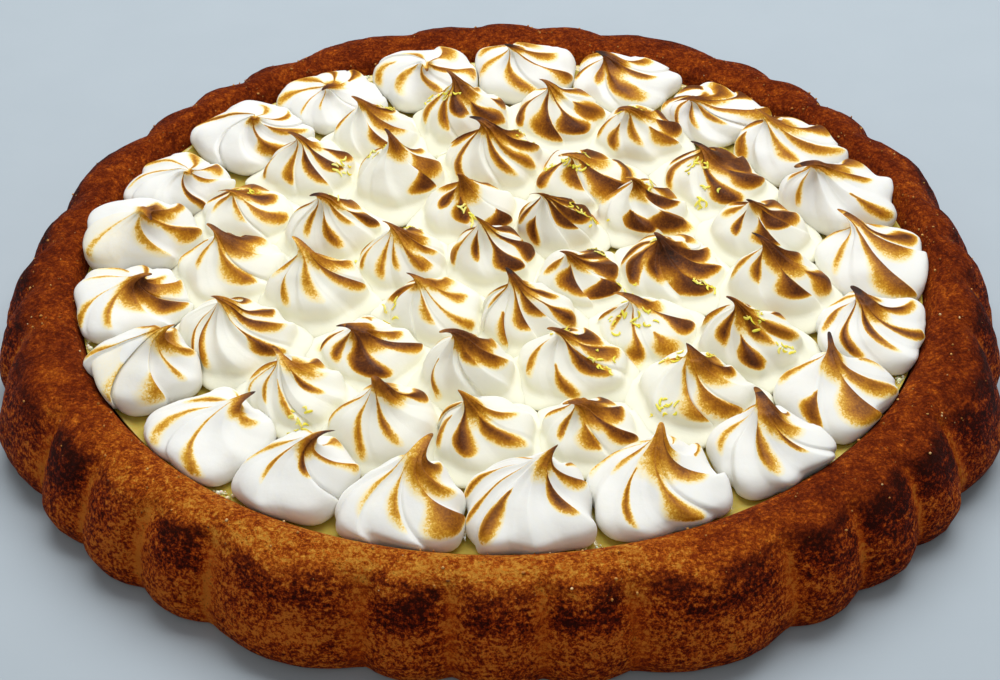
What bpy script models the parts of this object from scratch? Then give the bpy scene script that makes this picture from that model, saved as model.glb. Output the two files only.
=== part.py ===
"""Lemon meringue pie, unmoulded: a fluted crust, a lemon filling and piped meringue kisses.

Frame: metres, +Z up, origin under the middle of the crust's box, on the surface that the
pie stands on. Bearings run round the axis of the recess, anticlockwise from +X, seen from
above.
"""

import math
import random

import bpy

# Axis of the recess and of the rings of kisses, which the slumped crust is not quite round
AXIS_X = 0.00101
AXIS_Y = -0.00203

# Crust. The radii are those of the grooves between the flutes.
CRUST_REPEATS = 8                             # times the pattern of flutes goes round
WIDE_FLUTE_BEARING = math.radians(21.5)
WIDE_FLUTE_SPAN = math.radians(17.4)
WIDE_FLUTE_DEPTH = 0.0062
WIDE_FLUTE_FACETS = 5
SMALL_FLUTES = 3                              # between two wide ones
SMALL_FLUTE_DEPTH = 0.0040
SMALL_FLUTE_FACETS = 3
BASE_RADIUS = 0.1425
BELLY_RADIUS = 0.1480
BELLY_HEIGHT = 0.0080
WALL_RADIUS = 0.1460
WALL_HEIGHT = 0.0160
SHOULDER_RADIUS = 0.1410
SHOULDER_HEIGHT = 0.0275
RIM_RADIUS = 0.1335                           # middle of the rounded rim
RIM_HEIGHT = 0.0325
RIM_UNEVENNESS = 0.0007
# How far the crust has slumped out of round: waves round it, amplitude, bearing of a crest
SLUMP_WAVES = ((0, 0.0010, 0.0), (2, 0.0011, math.radians(85.5)),
               (3, 0.0023, math.radians(81.0)))
RECESS_RADIUS = 0.1262                        # inner edge, at the level of the filling
RECESS_FLOOR_RADIUS = 0.1210
RECESS_FLOOR_HEIGHT = 0.0090

# Filling
FILLING_LEVEL = 0.0253
FILLING_SIDES = 64
TOUCH_GAP = 0.0003                            # left between pieces that touch

# Meringue kisses, piped in rings: name, how many, ring radius, bearing of the first
KISS_RINGS = (
    ("outer", 21, 0.1120, math.radians(274.4)),
    ("second", 17, 0.0835, math.radians(288.0)),
    ("third", 11, 0.0540, math.radians(323.4)),
    ("inner", 6, 0.0265, math.radians(350.0)),
    ("centre", 1, 0.0, 0.0),
)
KISS_SEED = 38079
KISS_DRIFT = 0.0035                           # most that a kiss is off its even place
KISS_SPREAD = 0.0190                          # base radius where nothing is in the way
KISS_SPREAD_RANGE = 0.12
KISS_HEIGHT = 0.0185                          # in the outer ring
INNER_KISS_HEIGHT = 0.0198
KISS_HEIGHT_RANGE = 0.25
KISS_RIDGES = 8                               # points of the star nozzle
KISS_GROOVE_DEPTH = 0.13                      # share of the radius
KISS_SWIRL = math.radians(-24.0)              # turn from the base to the tip
OUTER_KISS_LEAN = 0.0105                      # how far a drawn tip ends off the middle
INNER_KISS_LEAN = 0.0055
OUTER_LEAN_TURN = math.radians(140.0)         # from straight outward
LEAN_SCATTER = 0.6
# share of the height, share of the base's reach, how round the section is
KISS_SECTIONS = ((0.0, 0.92, 0.0), (0.20, 1.0, 0.0), (0.50, 0.73, 0.6), (0.78, 0.28, 1.0))


def clear_scene():
    """Remove everything that the new scene starts with."""
    for item in list(bpy.data.objects):
        bpy.data.objects.remove(item, do_unlink=True)


def make_collection(name):
    """A collection for the pieces of the pie."""
    collection = bpy.data.collections.new(name)
    bpy.context.scene.collection.children.link(collection)
    return collection


def make_material(name, colour, roughness):
    """A plain Principled material."""
    material = bpy.data.materials.new(name)
    material.use_nodes = True
    shader = material.node_tree.nodes["Principled BSDF"]
    shader.inputs["Base Color"].default_value = (*colour, 1.0)
    shader.inputs["Roughness"].default_value = roughness
    shader.inputs["Metallic"].default_value = 0.0
    material.diffuse_color = (*colour, 1.0)
    return material


def loft(rings, first_centre, last_centre):
    """Join rings of equal count, anticlockwise from above, and close both ends to a point."""
    count = len(rings[0])
    vertices = [first_centre]
    for ring in rings:
        vertices.extend(ring)
    vertices.append(last_centre)
    last = len(vertices) - 1
    faces = []
    for step in range(count):
        following = (step + 1) % count
        faces.append((0, 1 + following, 1 + step))
        for level in range(len(rings) - 1):
            low = 1 + level * count
            high = low + count
            faces.append((low + step, low + following, high + following, high + step))
        top = last - count
        faces.append((top + step, top + following, last))
    return vertices, faces


def add_piece(name, vertices, faces, material, collection):
    """Put a closed mesh, given round the axis, into the collection as one named piece."""
    mesh = bpy.data.meshes.new(name)
    placed = [(x + AXIS_X, y + AXIS_Y, z) for x, y, z in vertices]
    mesh.from_pydata(placed, [], faces)
    mesh.materials.append(material)
    mesh.shade_smooth()
    mesh.set_sharp_from_angle(angle=math.radians(50.0))
    piece = bpy.data.objects.new(name, mesh)
    collection.objects.link(piece)
    return piece


def flute_stations():
    """Bearings round the crust, each with how far the flute swells out there."""
    small_span = (math.tau / CRUST_REPEATS - WIDE_FLUTE_SPAN) / SMALL_FLUTES
    stations = []
    for repeat in range(CRUST_REPEATS):
        start = WIDE_FLUTE_BEARING - WIDE_FLUTE_SPAN / 2 + repeat * math.tau / CRUST_REPEATS
        flutes = [(WIDE_FLUTE_SPAN, WIDE_FLUTE_DEPTH, WIDE_FLUTE_FACETS)]
        flutes += [(small_span, SMALL_FLUTE_DEPTH, SMALL_FLUTE_FACETS)] * SMALL_FLUTES
        for span, depth, facets in flutes:
            for facet in range(facets):
                share = facet / facets
                swell = depth * 4 * share * (1 - share)
                stations.append((start + span * share, swell))
            start += span
    return stations


def slump(bearing):
    """How far the baked crust stands outside its even circle at a bearing."""
    return sum(amplitude * math.cos(waves * (bearing - crest))
               for waves, amplitude, crest in SLUMP_WAVES)


def crust_profile():
    """Section of the crust from the base over the rim to the recess: radius, height, fluting."""
    tuck = BELLY_RADIUS - BASE_RADIUS
    profile = []
    for angle in (0.0, 50.0, 90.0):           # the rounded edge under the belly
        turn = math.radians(angle)
        profile.append((BASE_RADIUS + tuck * math.sin(turn),
                        BELLY_HEIGHT * (1 - math.cos(turn)), 0.75 + 0.25 * math.sin(turn)))
    profile.append((WALL_RADIUS, WALL_HEIGHT, 1.0))
    profile.append((SHOULDER_RADIUS, SHOULDER_HEIGHT, 1.0))
    outward = SHOULDER_RADIUS - RIM_RADIUS
    rise = RIM_HEIGHT - SHOULDER_HEIGHT
    turn = math.radians(45.0)
    profile.append((RIM_RADIUS + outward * math.cos(turn),
                    SHOULDER_HEIGHT + rise * math.sin(turn), 0.55))
    profile.append((RIM_RADIUS, RIM_HEIGHT, 0.12))
    inward = RIM_RADIUS - RECESS_RADIUS
    drop = RIM_HEIGHT - FILLING_LEVEL
    profile.append((RIM_RADIUS - inward * math.sin(turn),
                    FILLING_LEVEL + drop * math.cos(turn), 0.0))
    profile.append((RECESS_RADIUS, FILLING_LEVEL, 0.0))
    profile.append((RECESS_FLOOR_RADIUS, RECESS_FLOOR_HEIGHT, 0.0))
    return profile


def build_crust(material, collection):
    """The fluted crust with its rounded rim and the recess that holds the filling."""
    rings = []
    stations = flute_stations()
    for radius, height, fluting in crust_profile():
        above_wall = max(0.0, (height - BELLY_HEIGHT) / (RIM_HEIGHT - BELLY_HEIGHT))
        ring = []
        for bearing, swell in stations:
            reach = radius + swell * fluting
            if radius >= RIM_RADIUS:
                reach += slump(bearing)
            wave = math.sin(3 * bearing + 0.8) + 0.6 * math.sin(7 * bearing + 2.1)
            lift = RIM_UNEVENNESS * above_wall * wave if radius > RECESS_RADIUS else 0.0
            ring.append((reach * math.cos(bearing), reach * math.sin(bearing), height + lift))
        rings.append(ring)
    vertices, faces = loft(rings, (0.0, 0.0, 0.0), (0.0, 0.0, RECESS_FLOOR_HEIGHT))
    return add_piece("crust", vertices, faces, material, collection)


def build_filling(material, collection):
    """The lemon filling: a slab with a sloping side that fits the recess."""
    bottom = RECESS_FLOOR_HEIGHT + TOUCH_GAP
    depth = FILLING_LEVEL - bottom
    bpy.ops.mesh.primitive_cone_add(
        vertices=FILLING_SIDES, radius1=RECESS_FLOOR_RADIUS - TOUCH_GAP,
        radius2=RECESS_RADIUS - TOUCH_GAP, depth=depth,
        location=(AXIS_X, AXIS_Y, bottom + depth / 2))
    filling = bpy.context.active_object
    filling.name = "lemon_filling"
    filling.data.name = "lemon_filling"
    filling.data.materials.append(material)
    for holder in list(filling.users_collection):
        holder.objects.unlink(filling)
    collection.objects.link(filling)
    return filling


def plan_kisses():
    """Where each kiss stands and how it was piped, ring by ring."""
    chance = random.Random(KISS_SEED)
    kisses = []
    for ring, count, radius, start in KISS_RINGS:
        for number in range(count):
            bearing = start + number * math.tau / count
            name = f"meringue_{ring}_{number + 1:02d}" if count > 1 else f"meringue_{ring}"
            outer = ring == "outer"
            lean_to = bearing + OUTER_LEAN_TURN if outer else math.pi
            height = KISS_HEIGHT if outer else INNER_KISS_HEIGHT
            lean = OUTER_KISS_LEAN if outer else INNER_KISS_LEAN
            kisses.append({
                "name": name,
                "lean_to": lean_to + LEAN_SCATTER * chance.uniform(-1.0, 1.0),
                "height": height * (1 + KISS_HEIGHT_RANGE * chance.uniform(-1.0, 1.0)),
                "x": radius * math.cos(bearing) + KISS_DRIFT * chance.uniform(-1.0, 1.0),
                "y": radius * math.sin(bearing) + KISS_DRIFT * chance.uniform(-1.0, 1.0),
                "spread": KISS_SPREAD * (1 + KISS_SPREAD_RANGE * chance.uniform(-1.0, 1.0)),
                "lean": lean * chance.uniform(0.4, 1.2),
                "turn": chance.uniform(0.0, math.tau),
            })
    return kisses


def kiss_reach(kiss, kisses, bearing):
    """How far a kiss spreads one way before it meets a neighbour or the side of the recess."""
    across, away = math.cos(bearing), math.sin(bearing)
    reach = kiss["spread"]
    for other in kisses:
        if other is kiss:
            continue
        step_x = other["x"] - kiss["x"]
        step_y = other["y"] - kiss["y"]
        distance = math.hypot(step_x, step_y)
        facing = (step_x * across + step_y * away) / distance
        if facing > 0.05:
            share = kiss["spread"] / (kiss["spread"] + other["spread"])
            reach = min(reach, (distance * share - TOUCH_GAP / 2) / facing)
    along = kiss["x"] * across + kiss["y"] * away
    edge = RECESS_RADIUS - TOUCH_GAP
    free = edge ** 2 - kiss["x"] ** 2 - kiss["y"] ** 2
    return min(reach, math.sqrt(along ** 2 + free) - along)


def build_kiss(kiss, kisses, material, collection):
    """One kiss of piped meringue: star-shaped sections that turn and lean up to a drawn tip."""
    count = 2 * KISS_RIDGES
    foot = FILLING_LEVEL + TOUCH_GAP
    lean_x = kiss["lean"] * math.cos(kiss["lean_to"])
    lean_y = kiss["lean"] * math.sin(kiss["lean_to"])
    waist = 0.78 * kiss["spread"]
    rings = []
    for rise, breadth, roundness in KISS_SECTIONS:
        ring = []
        bend = rise ** 1.6
        for step in range(count):
            bearing = kiss["turn"] + step * math.tau / count + KISS_SWIRL * rise
            reach = kiss_reach(kiss, kisses, bearing)
            reach += (min(waist, reach) - reach) * roundness
            groove = KISS_GROOVE_DEPTH if step % 2 else 0.0
            radius = reach * breadth * (1 - groove)
            ring.append((kiss["x"] + lean_x * bend + radius * math.cos(bearing),
                         kiss["y"] + lean_y * bend + radius * math.sin(bearing),
                         foot + rise * kiss["height"]))
        rings.append(ring)
    tip = (kiss["x"] + lean_x, kiss["y"] + lean_y, foot + kiss["height"])
    vertices, faces = loft(rings, (kiss["x"], kiss["y"], foot), tip)
    return add_piece(kiss["name"], vertices, faces, material, collection)


def build_pie():
    """The whole pie: crust, filling, and every kiss on its own."""
    clear_scene()
    collection = make_collection("lemon_meringue_pie")
    crust = make_material("baked_crust", (0.36, 0.13, 0.035), 0.75)
    filling = make_material("lemon_curd", (0.72, 0.58, 0.16), 0.25)
    meringue = make_material("meringue", (0.90, 0.88, 0.82), 0.5)
    build_crust(crust, collection)
    build_filling(filling, collection)
    kisses = plan_kisses()
    for kiss in kisses:
        build_kiss(kiss, kisses, meringue, collection)


build_pie()
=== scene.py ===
import math

import bpy
import numpy as np
from mathutils import Matrix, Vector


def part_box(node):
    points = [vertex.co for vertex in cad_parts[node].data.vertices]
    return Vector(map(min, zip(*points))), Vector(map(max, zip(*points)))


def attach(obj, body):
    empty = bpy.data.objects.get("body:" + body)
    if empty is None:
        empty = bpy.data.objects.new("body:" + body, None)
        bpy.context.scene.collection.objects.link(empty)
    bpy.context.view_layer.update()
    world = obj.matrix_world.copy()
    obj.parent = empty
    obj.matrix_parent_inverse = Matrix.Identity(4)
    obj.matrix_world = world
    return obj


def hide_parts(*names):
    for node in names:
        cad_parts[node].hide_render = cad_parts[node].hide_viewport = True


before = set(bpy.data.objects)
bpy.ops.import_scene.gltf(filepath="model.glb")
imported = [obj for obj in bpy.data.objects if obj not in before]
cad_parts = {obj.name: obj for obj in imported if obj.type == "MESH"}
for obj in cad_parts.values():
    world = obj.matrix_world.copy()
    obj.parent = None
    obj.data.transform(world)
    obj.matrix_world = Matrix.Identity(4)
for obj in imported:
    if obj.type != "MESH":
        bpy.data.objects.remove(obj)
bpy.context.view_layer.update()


# ---------------------------------------------------------------------------------------------
# Studio: a pale sweep of paper that the pie stands on, a large soft box above and behind it,
# a weaker one in front, and the camera that looks down on the near side of the crust.
# ---------------------------------------------------------------------------------------------
def shader_node(tree, kind, inputs=None, **settings):
    """Add a shader node. An input given as a socket is linked, any other value is set."""
    added = tree.nodes.new(kind)
    for setting, value in settings.items():
        setattr(added, setting, value)
    for key, value in (inputs or {}).items():
        if isinstance(value, bpy.types.NodeSocket):
            tree.links.new(value, added.inputs[key])
        else:
            added.inputs[key].default_value = value
    return added


def new_finish(name, fixed):
    """A material with one Principled shader, and the values that are the same all over it."""
    finish = bpy.data.materials.new(name)
    finish.use_nodes = True
    shader = finish.node_tree.nodes["Principled BSDF"]
    for key, value in fixed.items():
        shader.inputs[key].default_value = value
    return finish, finish.node_tree, shader


def soft_box(name, place, aim, width, depth, watts, colour):
    """A rectangular area light at a place, turned towards its aim."""
    light = bpy.data.lights.new(name, "AREA")
    light.shape = "RECTANGLE"
    light.size = width
    light.size_y = depth
    light.energy = watts
    light.color = colour
    holder = bpy.data.objects.new(name, light)
    bpy.context.scene.collection.objects.link(holder)
    holder.location = place
    from_light = np.array(aim) - np.array(place)
    level = math.hypot(from_light[0], from_light[1])
    holder.rotation_euler = (math.atan2(level, -from_light[2]), 0.0,
                             math.atan2(from_light[0], -from_light[1]) + math.pi)
    return holder


CAMERA_PLACE = (0.0002, -0.5430, 0.4159)
CAMERA_PITCH = math.radians(37.52)            # below the horizon
CAMERA_ROLL = math.radians(-0.68)
CAMERA_LENS = 79.2
PAPER_HALF_WIDTH = 3.0

camera = bpy.data.objects.new("camera", bpy.data.cameras.new("camera"))
bpy.context.scene.collection.objects.link(camera)
camera.data.lens = CAMERA_LENS
camera.data.clip_start = 0.01
camera.matrix_world = (Matrix.Translation(CAMERA_PLACE)
                       @ Matrix.Rotation(math.pi / 2 - CAMERA_PITCH, 4, "X")
                       @ Matrix.Rotation(CAMERA_ROLL, 4, "Z"))
bpy.context.scene.camera = camera

soft_box("soft_box_above", (0.08, 0.42, 1.05), (0.0, 0.0, 0.03), 1.2, 0.9, 17.5,
         (0.97, 0.99, 1.0))
soft_box("soft_box_front", (-0.12, -1.05, 0.80), (0.0, 0.0, 0.03), 0.9, 0.7, 2.7,
         (1.0, 0.94, 0.84))

world = bpy.data.worlds.new("studio")
world.use_nodes = True
world.node_tree.nodes["Background"].inputs["Color"].default_value = (0.90, 0.95, 1.0, 1.0)
world.node_tree.nodes["Background"].inputs["Strength"].default_value = 0.26
bpy.context.scene.world = world
bpy.context.scene.view_settings.view_transform = "Standard"

paper_finish, paper_tree, paper_shader = new_finish("pale_paper", {"Roughness": 0.85})
paper_grain = shader_node(paper_tree, "ShaderNodeTexNoise", {
    "Vector": shader_node(paper_tree, "ShaderNodeTexCoord").outputs["Object"],
    "Scale": 40.0, "Detail": 4.0})
paper_tint = shader_node(paper_tree, "ShaderNodeValToRGB", {"Fac": paper_grain.outputs["Fac"]})
paper_tint.color_ramp.elements[0].color = (0.365, 0.415, 0.455, 1.0)
paper_tint.color_ramp.elements[1].color = (0.390, 0.440, 0.480, 1.0)
paper_tree.links.new(paper_tint.outputs["Color"], paper_shader.inputs["Base Color"])

paper_mesh = bpy.data.meshes.new("paper")
paper_mesh.from_pydata([(-PAPER_HALF_WIDTH, -PAPER_HALF_WIDTH, -0.0002),
                        (PAPER_HALF_WIDTH, -PAPER_HALF_WIDTH, -0.0002),
                        (PAPER_HALF_WIDTH, PAPER_HALF_WIDTH, -0.0002),
                        (-PAPER_HALF_WIDTH, PAPER_HALF_WIDTH, -0.0002)], [], [(0, 1, 2, 3)])
paper_mesh.materials.append(paper_finish)
paper = bpy.data.objects.new("paper", paper_mesh)
bpy.context.scene.collection.objects.link(paper)


# ---------------------------------------------------------------------------------------------
# Crust: a tender short sponge dough, baked in a fluted flan tin and turned out, so that its
# flutes are rounded knuckles that fade out on the rim, browned most on their shoulders.
# ---------------------------------------------------------------------------------------------
def smooth_curve(knots, count):
    """Catmull-Rom curve: between two knots, a cubic whose slope at each knot is half the
    step between that knot's neighbours. Returns count points, evenly spaced by knot."""
    knots = np.asarray(knots, float)
    padded = np.vstack([2 * knots[0] - knots[1], knots, 2 * knots[-1] - knots[-2]])
    place = np.linspace(0.0, len(knots) - 1.0, count)
    span = np.minimum(place.astype(int), len(knots) - 2)
    part = (place - span)[:, None]
    before, start, end, after = (padded[span + step] for step in range(4))
    return 0.5 * (2 * start + (end - before) * part
                  + (2 * before - 5 * start + 4 * end - after) * part ** 2
                  + (3 * start - before - 3 * end + after) * part ** 3)


def smooth_step(low, high, value):
    """0 below low, 1 above high, and 3t^2 - 2t^3 of the share t in between."""
    share = np.clip((value - low) / (high - low), 0.0, 1.0)
    return share * share * (3 - 2 * share)


def lumps(points, pitch, seed):
    """Smooth random field from -1 to 1: random numbers on a cubic lattice of that pitch,
    blended between the eight corners round each point by a smoothstep of the offset."""
    table = np.random.default_rng(seed).uniform(-1.0, 1.0, 4096)
    scaled = points / pitch
    cell = np.floor(scaled).astype(np.int64)
    part = scaled - cell
    part = part * part * (3 - 2 * part)
    total = np.zeros(points.shape[:-1])
    for corner in range(8):
        offset = np.array([corner & 1, corner >> 1 & 1, corner >> 2 & 1])
        key = (cell + offset) * np.array([73856093, 19349663, 83492791])
        value = table[(key[..., 0] ^ key[..., 1] ^ key[..., 2]) & 4095]
        weight = np.where(offset, part, 1 - part).prod(axis=-1)
        total += weight * value
    return total


def wound_piece(name, grid, low_end, high_end, finish, fields):
    """A closed surface from rows of points that wind anticlockwise round an axis, seen from
    above: quads between rows, and a fan to a point at either end. Each field is a number at
    every grid point, stored as a vertex attribute."""
    rows, columns = grid.shape[:2]
    points = np.vstack([grid.reshape(-1, 3), low_end, high_end])
    column = np.arange(columns)
    following = np.roll(column, -1)
    row = np.arange(rows - 1)[:, None] * columns
    quads = np.stack([row + column, row + following, row + columns + following,
                      row + columns + column], axis=-1).reshape(-1, 4)
    low_fan = np.stack([np.full(columns, rows * columns), following, column], axis=-1)
    top = (rows - 1) * columns
    high_fan = np.stack([top + column, top + following,
                         np.full(columns, rows * columns + 1)], axis=-1)
    mesh = bpy.data.meshes.new(name)
    mesh.from_pydata(points.tolist(), [],
                     quads.tolist() + low_fan.tolist() + high_fan.tolist())
    mesh.shade_smooth()
    mesh.materials.append(finish)
    for label, values in fields.items():
        stored = mesh.attributes.new(label, "FLOAT", "POINT")
        ends = [values[0].mean(), values[-1].mean()]
        stored.data.foreach_set("value", np.append(values.ravel(), ends).astype(np.float32))
    piece = bpy.data.objects.new(name, mesh)
    bpy.context.scene.collection.objects.link(piece)
    return piece


crust_low, crust_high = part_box("crust")
filling_low, filling_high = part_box("lemon_filling")
AXIS = 0.5 * np.array([filling_low.x + filling_high.x, filling_low.y + filling_high.y])
FILLING_LEVEL = filling_high.z
FILLING_RADIUS = 0.5 * (filling_high.x - filling_low.x)
RECESS_FLOOR = filling_low.z - 0.0003
RIM_HEIGHT = 0.0325
CRUST_COLUMNS = 960
CRUST_ROWS = 100
FLUTE_REPEATS = 8
WIDE_FLUTE_BEARING = math.radians(21.5)
WIDE_FLUTE_SPAN = math.radians(17.4)
SMALL_FLUTE_SPAN = (math.tau / FLUTE_REPEATS - WIDE_FLUTE_SPAN) / 3
WIDE_FLUTE_DEPTH = 0.0072
SMALL_FLUTE_DEPTH = 0.0050
# how far the crust has slumped out of round: waves round it, amplitude, bearing of a crest
SLUMP_WAVES = ((0, 0.0010, 0.0), (2, 0.0011, math.radians(85.5)),
               (3, 0.0023, math.radians(81.0)))
# radius of the grooves, height, share of the flutes' depth, one row a bend of the section
CRUST_SECTION = (
    (0.1387, 0.0000, 0.60), (0.1424, 0.0002, 0.72), (0.1454, 0.0028, 0.95),
    (0.1470, 0.0080, 1.00), (0.1464, 0.0125, 1.00), (0.1449, 0.0175, 1.00),
    (0.1428, 0.0228, 1.00), (0.1403, 0.0274, 0.98), (0.1378, 0.0305, 0.82),
    (0.1348, 0.0321, 0.46), (0.1321, 0.0323, 0.16), (0.1298, 0.0312, 0.03),
    (0.1279, 0.0288, 0.00), (0.1264, 0.0254, 0.00), (0.1250, 0.0200, 0.00),
    (0.1212, 0.0092, 0.00), (0.1190, 0.0090, 0.00),
)


def flute_places():
    """Columns packed towards the grooves: within a flute, share = t - sin(2 pi t) / 9 of an
    even t. Returns each column's bearing, its share across its flute, the flute's depth and
    the flute's number."""
    spans = np.tile([WIDE_FLUTE_SPAN] + 3 * [SMALL_FLUTE_SPAN], FLUTE_REPEATS)
    depths = np.tile([WIDE_FLUTE_DEPTH] + 3 * [SMALL_FLUTE_DEPTH], FLUTE_REPEATS)
    starts = WIDE_FLUTE_BEARING - WIDE_FLUTE_SPAN / 2 + np.cumsum(spans) - spans
    each = CRUST_COLUMNS // len(spans)
    even = np.arange(each) / each
    share = np.tile(even - np.sin(math.tau * even) / 9, len(spans))
    number = np.repeat(np.arange(len(spans)), each)
    return starts[number] + spans[number] * share, share, depths[number], number


def crust_surface():
    """The fluted section carried round the axis. Radius = groove radius + slump + depth of
    the flute x sqrt(lobe^2 + 0.04) x how fluted the section is there, the lobe being
    1 - |2s - 1|^2.2 and s the share across the flute; the rim waves in height, and the
    skin has shallow lumps and dents."""
    bearing, share, depth, number = flute_places()
    section = smooth_curve(CRUST_SECTION, CRUST_ROWS)
    radius, height, fluting = section[:, 0:1], section[:, 1:2], section[:, 2:3]
    lobe = 1 - np.abs(2 * share - 1) ** 2.2
    chance = np.random.default_rng(5)
    own_depth = chance.uniform(0.76, 0.90, FLUTE_REPEATS * 4)[number]
    own_shade = chance.uniform(0.0, 1.0, FLUTE_REPEATS * 4)[number]
    slump = sum(amplitude * np.cos(waves * (bearing - crest))
                for waves, amplitude, crest in SLUMP_WAVES)
    outer = smooth_step(0.1285, 0.1330, radius)
    bulge = np.sqrt(lobe ** 2 + 0.04) - 0.03
    reach = radius + slump * outer + depth * own_depth * bulge * np.maximum(fluting, 0.0)
    rise = np.clip(height / RIM_HEIGHT, 0.0, 1.0) + 0 * bearing
    wave = np.sin(3 * bearing + 0.8) + 0.6 * np.sin(7 * bearing + 2.1)
    lift = 0.0006 * wave * smooth_step(0.4, 0.9, rise) * outer
    points = np.stack([reach * np.cos(bearing), reach * np.sin(bearing),
                       height + lift], axis=-1)
    skin = smooth_step(0.1268, 0.1300, radius) * smooth_step(0.0, 0.12, rise)
    dents = (0.00050 * lumps(points, 0.0090, 1) + 0.00028 * lumps(points, 0.0040, 2)
             + 0.00018 * lumps(points, 0.0019, 3) - 0.0004) * skin
    out = dents * (1 - 0.75 * smooth_step(0.86, 0.98, rise))
    points[..., 0] += out * np.cos(bearing)
    points[..., 1] += out * np.sin(bearing)
    points[..., 2] += 0.6 * dents * smooth_step(0.75, 0.95, rise)
    points[..., 2] = np.maximum(points[..., 2], 0.0)
    points[..., :2] += AXIS
    fields = {
        "lobe": lobe + 0 * rise,
        "rise": rise,
        "inside": 1 - smooth_step(0.1275, 0.1345, radius) + 0 * rise,
        "flute_shade": own_shade + 0 * rise,
    }
    return points, fields


crust_points, crust_fields = crust_surface()
crust_finish, tree, shader = new_finish("baked_crust", {
    "Roughness": 0.66, "Specular IOR Level": 0.05})
coords = shader_node(tree, "ShaderNodeTexCoord").outputs["Object"]
lobe = shader_node(tree, "ShaderNodeAttribute", attribute_name="lobe").outputs["Fac"]
rise = shader_node(tree, "ShaderNodeAttribute", attribute_name="rise").outputs["Fac"]
shade = shader_node(tree, "ShaderNodeAttribute", attribute_name="flute_shade").outputs["Fac"]
inside = shader_node(tree, "ShaderNodeAttribute", attribute_name="inside").outputs["Fac"]


def maths(tree, operation, first, second=0.0, third=0.0, clamp=False):
    """One Math node's result."""
    return shader_node(tree, "ShaderNodeMath", {0: first, 1: second, 2: third},
                       operation=operation, use_clamp=clamp).outputs[0]


def remap(tree, value, low, high, to_low=0.0, to_high=1.0):
    """A smooth step of a value between two limits, onto another range."""
    return shader_node(tree, "ShaderNodeMapRange", {
        "Value": value, "From Min": low, "From Max": high, "To Min": to_low,
        "To Max": to_high}, interpolation_type="SMOOTHSTEP").outputs["Result"]


def noise(tree, vector, scale, detail=3.0, roughness=0.5, distortion=0.0):
    """A noise texture's value, for a scale in features per metre."""
    return shader_node(tree, "ShaderNodeTexNoise", {
        "Vector": vector, "Scale": scale, "Detail": detail, "Roughness": roughness,
        "Distortion": distortion}).outputs["Fac"]


def colour_ramp(tree, value, stops):
    """A colour for each value, from stops of position and linear colour."""
    ramp = shader_node(tree, "ShaderNodeValToRGB", {"Fac": value})
    elements = ramp.color_ramp.elements
    while len(elements) < len(stops):
        elements.new(0.5)
    for element, (position, colour) in zip(elements, stops):
        element.position = position
        element.color = (*colour, 1.0)
    return ramp.outputs["Color"]


def mix_colour(tree, share, first, second, blend="MIX"):
    """Two colours mixed by a share."""
    return shader_node(tree, "ShaderNodeMix", {0: share, 6: first, 7: second},
                       data_type="RGBA", blend_type=blend).outputs[2]


# browning and painted shade, from 0 for pale crumb to 1 for scorched: least in the grooves and on
# the near side of the rim, most on the shoulders; away from the near side darker, partly browning,
# partly painted shade
stretched = shader_node(tree, "ShaderNodeMapping", {
    "Vector": coords, "Scale": (1.0, 1.0, 2.2)}).outputs["Vector"]
stains = noise(tree, stretched, 75.0, 5.0, 0.65)
skin = remap(tree, noise(tree, stretched, 320.0, 8.0, 0.75), 0.34, 0.66)
crumb = remap(tree, noise(tree, coords, 1000.0, 4.0, 0.78), 0.36, 0.64)
# away from the rim's near side the crust is darker: partly real browning, partly painted shade of
# the light from behind
near = shader_node(tree, "ShaderNodeVectorMath", {0: coords, 1: (-0.26, -0.965, 0.0)},
                   operation="DOT_PRODUCT").outputs["Value"]
far_side_browning_and_shade = remap(tree, near, 0.150, 0.078)
wall = maths(tree, "MULTIPLY", remap(tree, rise, 0.96, 0.70), remap(tree, inside, 0.5, 0.1))
shoulder = maths(tree, "MULTIPLY", remap(tree, rise, 0.40, 0.78), remap(tree, rise, 0.99, 0.86))
shoulder = maths(tree, "MULTIPLY", shoulder, remap(tree, inside, 0.10, 0.0))
shoulder = maths(tree, "MULTIPLY", shoulder, remap(tree, lobe, 0.05, 0.85))
shoulder = maths(tree, "MULTIPLY", shoulder, remap(tree, stains, 0.30, 0.55, 0.3, 1.0))
groove = maths(tree, "MULTIPLY", remap(tree, lobe, 0.42, 0.0), wall)
aside = maths(tree, "ABSOLUTE", shader_node(tree, "ShaderNodeSeparateXYZ", {0: coords}).outputs[0])
groove = maths(tree, "MULTIPLY", groove, remap(tree, aside, 0.035, 0.095, 0.15, 1.0))
browning_and_shade = maths(tree, "MULTIPLY_ADD", wall, 0.10, 0.14)
browning_and_shade = maths(tree, "MULTIPLY_ADD", far_side_browning_and_shade, remap(tree, wall, 0.0, 1.0, 0.44, 0.22), browning_and_shade)
browning_and_shade = maths(tree, "MULTIPLY_ADD", shoulder,
                 maths(tree, "MULTIPLY_ADD", shade, 0.38, 0.24), browning_and_shade)
browning_and_shade = maths(tree, "MULTIPLY_ADD", groove, -0.36, browning_and_shade)
# darker towards the floor: painted shade at the foot of the wall
browning_and_shade = maths(tree, "MULTIPLY_ADD", remap(tree, rise, 0.45, 0.0), 0.20, browning_and_shade)
browning_and_shade = maths(tree, "MULTIPLY_ADD", inside, -0.04, browning_and_shade)
rough_rim = remap(tree, far_side_browning_and_shade, 0.0, 1.0, 0.46, 0.27)
rough_wall = remap(tree, lobe, 0.05, 0.50, 0.30, 0.60)
for texture, on_rim, on_wall in ((stains, 0.75, 1.05), (skin, rough_rim, rough_wall),
                                 (crumb, rough_rim, maths(tree, "MULTIPLY", rough_wall, 1.3))):
    browning_and_shade = maths(tree, "MULTIPLY_ADD", maths(tree, "SUBTRACT", texture, 0.5),
                     remap(tree, wall, 0.0, 1.0, on_rim, on_wall), browning_and_shade)
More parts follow.
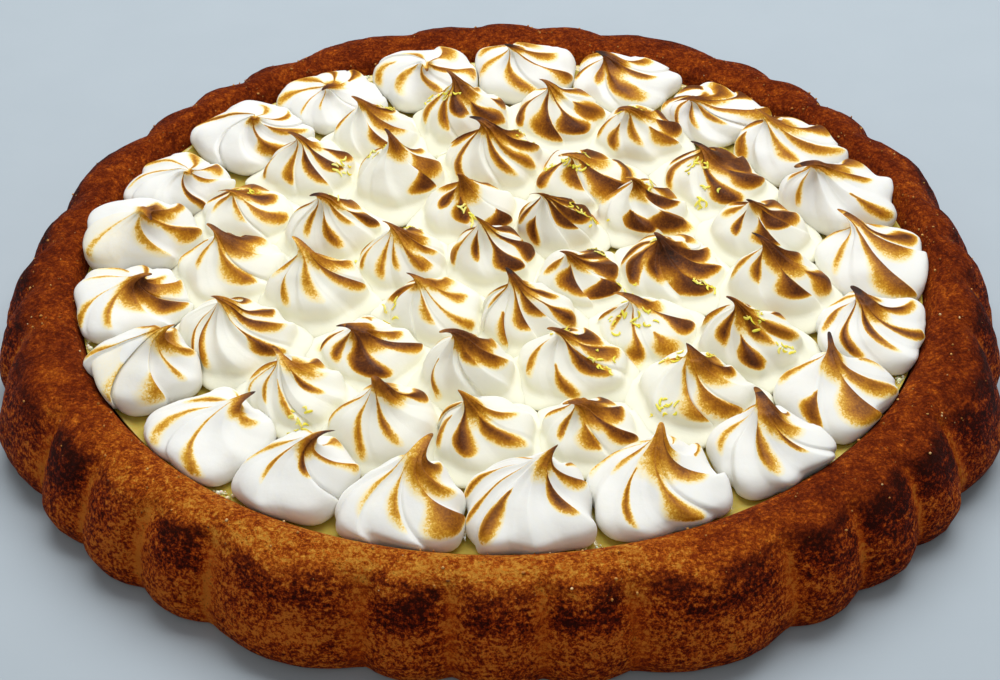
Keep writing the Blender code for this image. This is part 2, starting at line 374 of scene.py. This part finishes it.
crust_colour = colour_ramp(tree, browning_and_shade, (
    (0.00, (0.88, 0.370, 0.046)), (0.15, (0.80, 0.228, 0.018)), (0.30, (0.63, 0.130, 0.008)),
    (0.45, (0.400, 0.062, 0.0040)), (0.60, (0.245, 0.031, 0.0020)),
    (0.80, (0.120, 0.012, 0.0010)), (1.00, (0.045, 0.006, 0.0008))))
# on the wall the colour is multiplied towards red: painted warm bounce light
crust_colour = mix_colour(tree, wall, crust_colour,
                          mix_colour(tree, 1.0, crust_colour, (1.02, 0.66, 0.54, 1.0), "MULTIPLY"))
# pits: the dark colour in them is painted shade in the pores, which the bump also sinks
pits = shader_node(tree, "ShaderNodeTexVoronoi", {
    "Vector": coords, "Scale": 950.0, "Randomness": 1.0}).outputs["Distance"]
shaded_pit_mask = maths(tree, "MULTIPLY", remap(tree, pits, 0.34, 0.10),
                 remap(tree, noise(tree, coords, 160.0, 3.0), 0.40, 0.60))
crust_colour = mix_colour(tree, maths(tree, "MULTIPLY", shaded_pit_mask, 0.5), crust_colour,
                          (0.035, 0.007, 0.002, 1.0))
tree.links.new(crust_colour, shader.inputs["Base Color"])
relief = maths(tree, "MULTIPLY_ADD", skin, remap(tree, wall, 0.0, 1.0, -0.22, -0.38),
               maths(tree, "MULTIPLY", crumb, 0.40))
relief = maths(tree, "MULTIPLY_ADD", shaded_pit_mask, -0.30, relief)
bump = shader_node(tree, "ShaderNodeBump", {"Height": relief, "Strength": 0.9,
                                            "Distance": 0.0021})
tree.links.new(bump.outputs["Normal"], shader.inputs["Normal"])
crust = wound_piece("fluted_crust", crust_points, (*AXIS, 0.0), (*AXIS, RECESS_FLOOR),
                    crust_finish, crust_fields)
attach(crust, "root")
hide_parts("crust")


# ---------------------------------------------------------------------------------------------
# Crumbs: grains that broke off the crust as it left the tin, and lie on its rim. A few caught
# the sugar of the dough and are pale.
# ---------------------------------------------------------------------------------------------
CRUMB_COUNT = 520
CRUMB_RISE = 0.80                             # of the rim's height: they lie above it


def grid_normals(grid):
    """Outward normals of a wound grid: the cross product of its steps round and up."""
    around = np.roll(grid, -1, axis=1) - np.roll(grid, 1, axis=1)
    upward = np.gradient(grid, axis=0)
    normal = np.cross(around, upward)
    return normal / np.maximum(np.linalg.norm(normal, axis=-1, keepdims=True), 1e-12)


def grain(middle, size, chance):
    """A lumpy ball: rings of radius size x sqrt(1 - t^2), t being the share of the way up,
    with each corner moved in or out by a quarter and each axis scaled."""
    share = np.linspace(-0.88, 0.88, 5)[:, None]
    angle = np.linspace(0.0, math.tau, 7, endpoint=False)[None, :]
    ring = np.sqrt(1 - share ** 2)
    ball = np.stack([ring * np.cos(angle), ring * np.sin(angle), share + 0 * angle], axis=-1)
    ball = ball * chance.uniform(0.75, 1.25, ball.shape[:2])[..., None]
    return middle + size * ball * chance.uniform(0.7, 1.3, 3)


def joined_tubes(name, tubes, finish):
    """One mesh from many tubes of the same grid, each closed by a flat polygon at its ends."""
    steps, sides = tubes[0].shape[:2]
    points = np.concatenate([tube.reshape(-1, 3) for tube in tubes])
    side = np.arange(sides)
    following = np.roll(side, -1)
    step = np.arange(steps - 1)[:, None] * sides
    quads = np.stack([step + side, step + following, step + sides + following,
                      step + sides + side], axis=-1).reshape(-1, 4)
    first = np.arange(len(tubes))[:, None, None] * steps * sides
    faces = (quads[None] + first).reshape(-1, 4).tolist()
    caps = np.stack([side[::-1], side + (steps - 1) * sides])
    faces += (caps[None] + first).reshape(-1, sides).tolist()
    mesh = bpy.data.meshes.new(name)
    mesh.from_pydata(points.tolist(), [], faces)
    mesh.shade_smooth()
    mesh.materials.append(finish)
    piece = bpy.data.objects.new(name, mesh)
    bpy.context.scene.collection.objects.link(piece)
    return piece


crumb_finish, tree, shader = new_finish("crust_crumbs", {
    "Roughness": 0.8, "Specular IOR Level": 0.3})
coords = shader_node(tree, "ShaderNodeTexCoord").outputs["Object"]
crumb_colour = colour_ramp(tree, noise(tree, coords, 190.0, 2.0), (
    (0.30, (0.13, 0.035, 0.006)), (0.45, (0.42, 0.15, 0.022)), (0.62, (0.66, 0.34, 0.09)),
    (0.72, (0.84, 0.66, 0.38))))
tree.links.new(crumb_colour, shader.inputs["Base Color"])

chance = np.random.default_rng(61)
crust_normals = grid_normals(crust_points)
on_rim = np.where((crust_fields["rise"] > CRUMB_RISE)
                  & (np.linalg.norm(crust_points[..., :2] - AXIS, axis=-1) > FILLING_RADIUS))
crumbs = []
for spot in chance.integers(0, len(on_rim[0]), CRUMB_COUNT):
    row, column = on_rim[0][spot], on_rim[1][spot]
    size = 0.00012 + 0.00030 * chance.random() ** 3
    middle = crust_points[row, column] + 0.5 * size * crust_normals[row, column]
    crumbs.append(grain(middle, size, chance))
crumb_piece = joined_tubes("crust_crumbs", crumbs, crumb_finish)
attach(crumb_piece, "root")


# ---------------------------------------------------------------------------------------------
# Filling: a set lemon curd poured into the recess. It shows only between the outer kisses
# and the rim, where it climbs the crumb a little and stays wet.
# ---------------------------------------------------------------------------------------------
CURD_ROWS = 70
CURD_COLUMNS = 360
CURD_CLIMB = 0.0007


def curd_surface():
    """A slab: up the sloping side of the recess, then in over the level top to the middle.
    The top rises by a smoothstep over the last 3 mm to the rim and waves by 0.15 mm."""
    bearing = np.linspace(0.0, math.tau, CURD_COLUMNS, endpoint=False)[None, :]
    side = np.linspace(0.0, 1.0, 8)[:, None]
    side_radius = FILLING_RADIUS + (side - 1) * 0.0050
    side_height = filling_low.z + side * (FILLING_LEVEL + CURD_CLIMB - filling_low.z)
    inward = np.linspace(0.0, 1.0, CURD_ROWS)[1:, None] ** 1.8
    top_radius = FILLING_RADIUS * (1 - inward * 0.995)
    climb = smooth_step(-0.0030, 0.0, top_radius - FILLING_RADIUS) * CURD_CLIMB
    radius = np.vstack([side_radius, top_radius])
    height = np.vstack([side_height, FILLING_LEVEL + climb])
    points = np.stack([radius * np.cos(bearing), radius * np.sin(bearing),
                       height + 0 * bearing], axis=-1)
    points[8:, :, 2] += 0.00015 * lumps(points[8:], 0.007, 21)
    points[..., :2] += AXIS
    return points


curd_finish, tree, shader = new_finish("lemon_curd", {
    "Roughness": 0.16, "Subsurface Weight": 0.25, "Subsurface Scale": 0.004,
    "Coat Weight": 0.5, "Coat Roughness": 0.06})
coords = shader_node(tree, "ShaderNodeTexCoord").outputs["Object"]
curd_cloud = noise(tree, coords, 110.0, 3.0, 0.55)
curd_colour = colour_ramp(tree, curd_cloud, (
    (0.30, (0.46, 0.33, 0.045)), (0.55, (0.54, 0.41, 0.075)), (0.75, (0.63, 0.50, 0.13))))
tree.links.new(curd_colour, shader.inputs["Base Color"])
bump = shader_node(tree, "ShaderNodeBump", {"Height": noise(tree, coords, 420.0, 2.0),
                                            "Strength": 0.25, "Distance": 0.0005})
tree.links.new(bump.outputs["Normal"], shader.inputs["Normal"])
curd = wound_piece("lemon_curd", curd_surface(), (*AXIS, filling_low.z),
                   (*AXIS, FILLING_LEVEL), curd_finish, {})
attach(curd, "root")
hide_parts("lemon_filling")


# beads of froth on the curd, in a few clusters along the crust
BEAD_CLUSTERS = 34
BEADS_PER_CLUSTER = 7


def bead(middle, size):
    """A ball: rings of radius size x sqrt(1 - t^2), t being the share of the way up."""
    share = np.linspace(-0.97, 0.97, 8)[:, None]
    angle = np.linspace(0.0, math.tau, 12, endpoint=False)[None, :]
    ring = np.sqrt(1 - share ** 2)
    ball = np.stack([ring * np.cos(angle), ring * np.sin(angle), share + 0 * angle], axis=-1)
    return middle + size * ball


chance = np.random.default_rng(19)
beads = []
for bearing in chance.uniform(0.0, math.tau, BEAD_CLUSTERS):
    for number in range(BEADS_PER_CLUSTER):
        size = 0.00025 + 0.00060 * chance.random() ** 2
        turn = bearing + chance.normal(0.0, 0.012)
        away = FILLING_RADIUS - 0.0005 - abs(chance.normal(0.0, 0.0012))
        level = FILLING_LEVEL + CURD_CLIMB * 0.6 + 0.2 * size
        beads.append(bead((AXIS[0] + away * math.cos(turn), AXIS[1] + away * math.sin(turn),
                           level), size))
froth_finish, tree, shader = new_finish("curd_froth", {
    "Roughness": 0.12, "Subsurface Weight": 0.3, "Subsurface Scale": 0.001,
    "Coat Weight": 0.6, "Coat Roughness": 0.04})
coords = shader_node(tree, "ShaderNodeTexCoord").outputs["Object"]
froth_colour = colour_ramp(tree, noise(tree, coords, 300.0, 2.0), (
    (0.35, (0.72, 0.60, 0.24)), (0.65, (0.90, 0.86, 0.66))))
tree.links.new(froth_colour, shader.inputs["Base Color"])
froth = joined_tubes("curd_froth", beads, froth_finish)
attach(froth, "root")


# ---------------------------------------------------------------------------------------------
# Meringue kisses: each pressed from a star nozzle, broad and soft at the foot, with sharp
# folds that swing round towards a drawn tip, then browned with a torch along the folds.
# ---------------------------------------------------------------------------------------------
KISS_NODES = sorted(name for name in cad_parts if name.startswith("meringue_"))
FEWEST_FOLDS = 6
MOST_FOLDS = 9
COLUMNS_PER_FOLD = 16
KISS_ROWS = 56
FOOT_SHARE = 0.92                             # base of the solid against its widest section
GROOVE_SHARE = 0.935                          # mean of the solid's crests and grooves
# share of the reach, share of the height
KISS_OUTLINE = ((0.86, 0.0), (0.97, 0.05), (1.0, 0.14), (0.985, 0.25), (0.92, 0.36),
                (0.80, 0.46), (0.63, 0.55), (0.45, 0.635), (0.31, 0.715), (0.205, 0.795),
                (0.135, 0.87), (0.09, 0.935), (0.06, 0.98), (0.035, 1.0))
RIM_SLOPE_RISE = (0.0, 0.0034, 0.0058, 0.0070, 0.0100)     # above the filling
RIM_SLOPE_REACH = (0.0004, 0.0021, 0.0042, 0.0062, 0.0090)  # beyond its edge
FOLD_DEPTH = ((0.0, 0.05), (0.14, 0.06), (0.28, 0.09), (0.42, 0.14), (0.56, 0.22),
              (0.72, 0.28), (0.84, 0.20), (0.93, 0.08), (1.0, 0.0))


def read_kisses():
    """Middle and mean reach of each solid kiss at its foot, and its tip, from its mesh."""
    feet, reaches, tips = [], [], []
    for name in KISS_NODES:
        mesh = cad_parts[name].data
        corners = np.empty(len(mesh.vertices) * 3, np.float32)
        mesh.vertices.foreach_get("co", corners)
        corners = corners.reshape(-1, 3).astype(float)
        low = np.unique(np.round(corners[corners[:, 2] < corners[:, 2].min() + 1e-5], 6), axis=0)
        middle = low.mean(axis=0)
        away = np.sort(np.hypot(*(low - middle)[:, :2].T))[1:]
        feet.append(middle)
        reaches.append(away.mean() / FOOT_SHARE / GROOVE_SHARE)
        tips.append(corners[corners[:, 2].argmax()])
    return np.array(feet), np.array(reaches), np.array(tips)


kiss_feet, kiss_reaches, kiss_tips = read_kisses()


def reach_towards(kiss, bearing, spread, share_of_gap, edge):
    """How far a kiss spreads along each bearing: the soft least, (sum r^-9)^(-1/9), of its
    own roundness, a line just past half way to each neighbour, and the crust's slope."""
    foot = kiss_feet[kiss] - (*AXIS, 0.0)
    limits = (spread * kiss_reaches[kiss]) ** -9
    for other in range(len(kiss_feet)):
        step = kiss_feet[other] - kiss_feet[kiss]
        distance = math.hypot(step[0], step[1])
        if other == kiss or distance > 0.050:
            continue
        facing = (step[0] * np.cos(bearing) + step[1] * np.sin(bearing)) / distance
        share = kiss_reaches[kiss] / (kiss_reaches[kiss] + kiss_reaches[other])
        half_way = share_of_gap * distance * share
        limits += np.where(facing > 0.1, half_way / np.maximum(facing, 0.1), 1.0) ** -9
    along = foot[0] * np.cos(bearing) + foot[1] * np.sin(bearing)
    free = edge ** 2 - foot[0] ** 2 - foot[1] ** 2
    limits += (np.sqrt(along ** 2 + free) - along) ** -9
    return limits ** (-1 / 9)


def kiss_surface(kiss, chance):
    """One kiss. A column stays on its place between two folds all the way up, so the folds
    run along the mesh. Bearing = start + column's share of a turn + swing x a smoothstep
    from the neck down. Radius = reach x outline x (1 - depth x sin(pi |s|)^e), s being the
    signed share of a fold from its crest, e small where the folds are sharp. The middle
    moves by lean x rise^2.1 and curls over at the tip."""
    foot, tip = kiss_feet[kiss], kiss_tips[kiss]
    off_axis = math.hypot(*(foot[:2] - AXIS))
    outward = math.atan2(*(foot[:2] - AXIS)[::-1])
    folds = int(chance.integers(FEWEST_FOLDS, MOST_FOLDS + 1))
    across = np.linspace(-1.0, 1.0, COLUMNS_PER_FOLD, endpoint=False)
    place = 0.5 * np.sign(across) * np.abs(across) ** 1.2
    fold = np.repeat(np.arange(folds), COLUMNS_PER_FOLD)
    place = np.tile(place, folds)[None, :]
    outline = smooth_curve(KISS_OUTLINE, KISS_ROWS)
    breadth = np.maximum(outline[:, 0:1], 0.02)
    rise = np.clip(outline[:, 1:2], 0.0, 1.0)
    drawn = chance.uniform(0.02, 0.50)
    breadth = breadth * (1 - drawn * smooth_step(0.55, 0.90, rise))

    spacing = (0.18 * np.sin(fold / folds * math.tau + chance.uniform(0, math.tau))
               + chance.uniform(-0.20, 0.20, folds)[fold]) * math.tau / folds
    start = chance.uniform(0.0, math.tau)
    swing = math.radians(chance.uniform(34.0, 80.0))
    depth = np.interp(rise, *np.transpose(FOLD_DEPTH))
    depth = depth * chance.uniform(0.45, 1.35, folds)[fold][None, :]
    sharpness = 2.0 - 0.8 * smooth_step(0.12, 0.55, rise)
    valley = np.sin(math.pi * np.abs(place)) ** sharpness
    lean_over = 0.24 * (1 - valley) * np.sin(math.pi * rise) ** 1.2
    turn = (fold[None, :] + place + lean_over) * math.tau / folds
    bearing = (start + turn + spacing * (1 - np.abs(2 * place))
               + swing * (1 - smooth_step(0.12, 0.95, rise)))

    height = tip[2] - foot[2]
    inner = 1 - smooth_step(0.092, 0.104, off_axis)
    skirt = inner * (1 - smooth_step(0.0, 0.20, rise))
    spread = (1.14 + inner * chance.uniform(-0.22, -0.10) + 0.75 * skirt
              + 0.15 * (1 - inner) * np.maximum(np.cos(bearing - outward), 0.0))
    edge = FILLING_RADIUS + np.interp(height * rise, RIM_SLOPE_RISE, RIM_SLOPE_REACH)
    reach = reach_towards(kiss, bearing, spread, 1.04 + 0.16 * skirt, edge)
    round_reach = np.minimum(reach, 0.82 * reach.mean())
    reach = reach + (round_reach - reach) * smooth_step(0.30, 0.72, rise)
    radius = reach * breadth * (1 - depth * valley)

    lean = (tip - foot)[:2]
    curl = np.clip((rise - 0.72) / 0.28, 0.0, 1.0)
    hook = 0.0010 + 0.0045 * chance.uniform(0.0, 1.0)
    hook_to = math.atan2(lean[1], lean[0]) + chance.uniform(-0.8, 0.8)
    middle_x = foot[0] + lean[0] * rise ** 2.1 + hook * math.cos(hook_to) * curl ** 1.7
    middle_y = foot[1] + lean[1] * rise ** 2.1 + hook * math.sin(hook_to) * curl ** 1.7
    middle_z = foot[2] + height * rise - 0.50 * hook * curl ** 3
    points = np.stack([middle_x + radius * np.cos(bearing), middle_y + radius * np.sin(bearing),
                       middle_z + 0 * radius], axis=-1)
    soft = 0.00055 * lumps(points, 0.0065, 40 + kiss) * smooth_step(0.02, 0.2, rise)
    points[..., 0] += soft * np.cos(bearing)
    points[..., 1] += soft * np.sin(bearing)
    points[..., 2] += 0.8 * soft * (rise < 0.8)
    end = points[-1].mean(axis=0) + np.array([0.0, 0.0, 0.0002])
    toasting = torch_marks(foot, off_axis, rise, place, fold, bearing, chance)
    fields = {"toasting": toasting, "kiss_rise": rise + 0 * toasting,
              "inner_cream_and_bounce": np.full_like(toasting, 1 - smooth_step(0.080, 0.108, off_axis))}
    return points, end, fields


def torch_marks(foot, off_axis, rise, place, fold, bearing, chance):
    """How far the torch browned each point, below 0 where it didn't. Down most folds runs a
    stroke, strength x (1.15 - d), d being the distance from its centre line in half widths:
    thin at the neck, broadest at a belly on the shoulder and rounded off below, it wanders
    off the crest of the fold by a sine of the height. The neck is browned all round. The
    flame came from one side, and dwelt right of centre."""
    folds = fold.max() + 1
    dwelt = math.exp(-((foot[0] - 0.042) ** 2 + (foot[1] - 0.028) ** 2) / 0.066 ** 2)
    at_edge = 1.0 * (off_axis > 0.10)
    level = 0.60 + 0.42 * dwelt + chance.uniform(-0.12, 0.14) - 0.17 * at_edge
    flame = np.cos(bearing - math.radians(chance.normal(-25.0, 60.0 - 25.0 * dwelt)))
    missed = (chance.random(folds) < 0.10)[fold][None, :]
    strength = level * chance.uniform(0.60, 1.25, folds)[fold][None, :] * (1 + 0.40 * flame)
    belly = (chance.uniform(0.34, 0.66, folds) - 0.10 * dwelt)[fold][None, :]
    drop = chance.uniform(0.06, 0.17, folds)[fold][None, :]
    thin = np.maximum(chance.uniform(-0.40, 0.90, folds), 0.0)[fold][None, :]
    narrowed = thin + (1 - thin) * (1 - smooth_step(belly, belly + 0.24, rise))
    half_width = chance.uniform(0.14, 0.34, folds) + 0.25 * dwelt - 0.08 * at_edge
    half_width = half_width[fold][None, :] * narrowed * (1 + 0.40 * flame)
    wander = chance.uniform(0.02, 0.10, folds)[fold][None, :] * np.sin(
        math.tau * (chance.uniform(1.2, 2.4) * rise + chance.uniform(0.0, 1.0, folds)[fold]))
    aside = (place + wander) / np.maximum(half_width, 0.05)
    below = np.maximum(belly - rise, 0.0) / drop
    stroke = strength * np.clip(1.15 - np.sqrt(aside ** 2 + below ** 2), -0.8, 1.0)
    stroke = np.minimum(stroke, 0.80) - 1.3 * (1 - smooth_step(0.0, 0.16, narrowed))
    stroke = stroke - 0.4 * smooth_step(1.2, 2.0, below) - 1.5 * missed
    neck_from = chance.uniform(0.42, 0.66) + 0.06 * at_edge - 0.06 * flame
    neck = (chance.uniform(0.55, 1.05) * smooth_step(neck_from, neck_from + 0.30, rise)
            + chance.uniform(-0.10, 0.55) * smooth_step(0.88, 1.0, rise)
            + 0.22 * flame - 0.30 - 0.5 * (1 - smooth_step(neck_from - 0.1, neck_from + 0.1, rise)))
    return np.maximum(stroke, neck) - 0.05


meringue_finish, tree, shader = new_finish("toasted_meringue", {
    "Roughness": 0.50, "Specular IOR Level": 0.14,
    "Subsurface Scale": 0.0045, "Subsurface Radius": (1.0, 0.9, 0.7)})
coords = shader_node(tree, "ShaderNodeTexCoord").outputs["Object"]
toasting = shader_node(tree, "ShaderNodeAttribute", attribute_name="toasting").outputs["Fac"]
inner_cream_and_bounce = shader_node(tree, "ShaderNodeAttribute", attribute_name="inner_cream_and_bounce").outputs["Fac"]
kiss_rise = shader_node(tree, "ShaderNodeAttribute", attribute_name="kiss_rise").outputs["Fac"]
patchy = noise(tree, coords, 320.0, 3.0)
speckle = noise(tree, coords, 1500.0, 4.0, 0.75)
ragged = remap(tree, toasting, -0.22, 0.12, 0.12, 1.0)
uneven = maths(tree, "MULTIPLY_ADD", maths(tree, "SUBTRACT", patchy, 0.5), 0.36,
               maths(tree, "MULTIPLY", maths(tree, "SUBTRACT", speckle, 0.5), 0.80))
toast = maths(tree, "MULTIPLY_ADD", uneven, ragged, toasting)
toast_colour = colour_ramp(tree, toast, (
    (0.00, (0.84, 0.54, 0.100)), (0.12, (0.60, 0.29, 0.018)), (0.30, (0.40, 0.145, 0.0050)),
    (0.50, (0.240, 0.075, 0.0036)), (0.74, (0.108, 0.027, 0.0026)),
    (1.00, (0.024, 0.007, 0.0024))))
# creamier on the inner kisses and low down on all: partly a warmer cream meringue, partly painted
# warm light bounced between the kisses
low_down = remap(tree, kiss_rise, 0.42, 0.02)
cream_and_bounce_share = maths(tree, "MULTIPLY_ADD", inner_cream_and_bounce, maths(tree, "MULTIPLY_ADD", low_down, 0.50, 0.34),
               maths(tree, "MULTIPLY", low_down, 0.08))
white = mix_colour(tree, cream_and_bounce_share, (0.810, 0.798, 0.752, 1.0), (0.865, 0.835, 0.635, 1.0))
scorch = mix_colour(tree, remap(tree, toast, -0.26, -0.02, 0.0, 0.70), white,
                    (0.93, 0.76, 0.34, 1.0))
browned = remap(tree, toast, -0.10, 0.05)
meringue_colour = mix_colour(tree, browned, scorch, toast_colour)
tree.links.new(remap(tree, browned, 0.0, 1.0, 0.35, 0.04), shader.inputs["Subsurface Weight"])
tree.links.new(meringue_colour, shader.inputs["Base Color"])
ripple = maths(tree, "MULTIPLY_ADD", speckle, 0.35, noise(tree, coords, 500.0, 2.0))
bump = shader_node(tree, "ShaderNodeBump", {"Height": ripple, "Strength": 0.18,
                                            "Distance": 0.0004})
tree.links.new(bump.outputs["Normal"], shader.inputs["Normal"])

kiss_grids = []
for kiss, name in enumerate(KISS_NODES):
    points, end, fields = kiss_surface(kiss, np.random.default_rng(300 + kiss))
    kiss_grids.append(points)
    foot_middle = (kiss_feet[kiss][0], kiss_feet[kiss][1], kiss_feet[kiss][2])
    piped = wound_piece(name.replace("meringue", "piped"), points, foot_middle, end,
                        meringue_finish, fields)
    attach(piped, "root")
    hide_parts(name)


# ---------------------------------------------------------------------------------------------
# Lemon zest: short shreds off a fine grater, scattered over the middle of the meringue in
# small tufts, lying on the slopes of the kisses.
# ---------------------------------------------------------------------------------------------
ZEST_TUFTS = 38
SHREDS_PER_TUFT = 10
SHRED_STEPS = 8
SHRED_SIDES = 6
SHRED_WIDTH = 0.00040
SHRED_THICKNESS = 0.00016


def shred(middle, normal, along, length, bend):
    """A flattened tube on an arc: it runs along a tangent of the meringue, bends sideways
    by bend x t^2 and lifts off by a little of that, tapering to both ends."""
    along = along - normal * (along @ normal)
    along = along / np.linalg.norm(along)
    aside = np.cross(normal, along)
    share = np.linspace(-1.0, 1.0, SHRED_STEPS)[:, None]
    taper = np.sqrt(np.maximum(1 - (0.97 * share) ** 4, 0.02))
    spine = (middle + along * share * length / 2 + aside * bend * share ** 2
             + normal * (SHRED_THICKNESS + 0.25 * abs(bend) * share ** 2))
    angle = np.linspace(0.0, math.tau, SHRED_SIDES, endpoint=False)[None, :, None]
    ring = (aside * np.cos(angle) * SHRED_WIDTH + normal * np.sin(angle) * SHRED_THICKNESS)
    return spine[:, None, :] + ring * taper[:, :, None]


zest_finish, tree, shader = new_finish("lemon_zest", {
    "Roughness": 0.45, "Subsurface Weight": 0.2, "Subsurface Scale": 0.001})
coords = shader_node(tree, "ShaderNodeTexCoord").outputs["Object"]
zest_colour = colour_ramp(tree, noise(tree, coords, 260.0, 2.0), (
    (0.30, (0.80, 0.66, 0.03)), (0.50, (0.92, 0.78, 0.06)), (0.70, (0.95, 0.86, 0.30))))
tree.links.new(zest_colour, shader.inputs["Base Color"])

def seen_from_above(points):
    """True for each point that has no other more than 0.7 mm above it in its 1.2 mm column."""
    cell = np.floor(points[:, :2] / 0.0012).astype(np.int64) @ np.array([100003, 1])
    _, column = np.unique(cell, return_inverse=True)
    highest = np.full(column.max() + 1, -1.0)
    np.maximum.at(highest, column, points[:, 2])
    return points[:, 2] > highest[column] - 0.0007


chance = np.random.default_rng(77)
shreds = []
surface = np.concatenate([grid[4:34].reshape(-1, 3) for grid in kiss_grids])
facing = np.concatenate([grid_normals(grid)[4:34].reshape(-1, 3) for grid in kiss_grids])
open_top = np.where((facing[:, 2] > 0.40) & seen_from_above(surface)
                    & (np.linalg.norm(surface[:, :2] - AXIS, axis=1) < 0.100))[0]
for tuft in range(ZEST_TUFTS):
    centre = surface[chance.choice(open_top)]
    near = open_top[np.linalg.norm(surface[open_top] - centre, axis=1) < 0.0045]
    for spot in chance.choice(near, SHREDS_PER_TUFT):
        shreds.append(shred(surface[spot], facing[spot], chance.normal(size=3),
                            chance.uniform(0.0009, 0.0032), chance.uniform(-0.0007, 0.0007)))
zest = joined_tubes("lemon_zest", shreds, zest_finish)
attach(zest, "root")
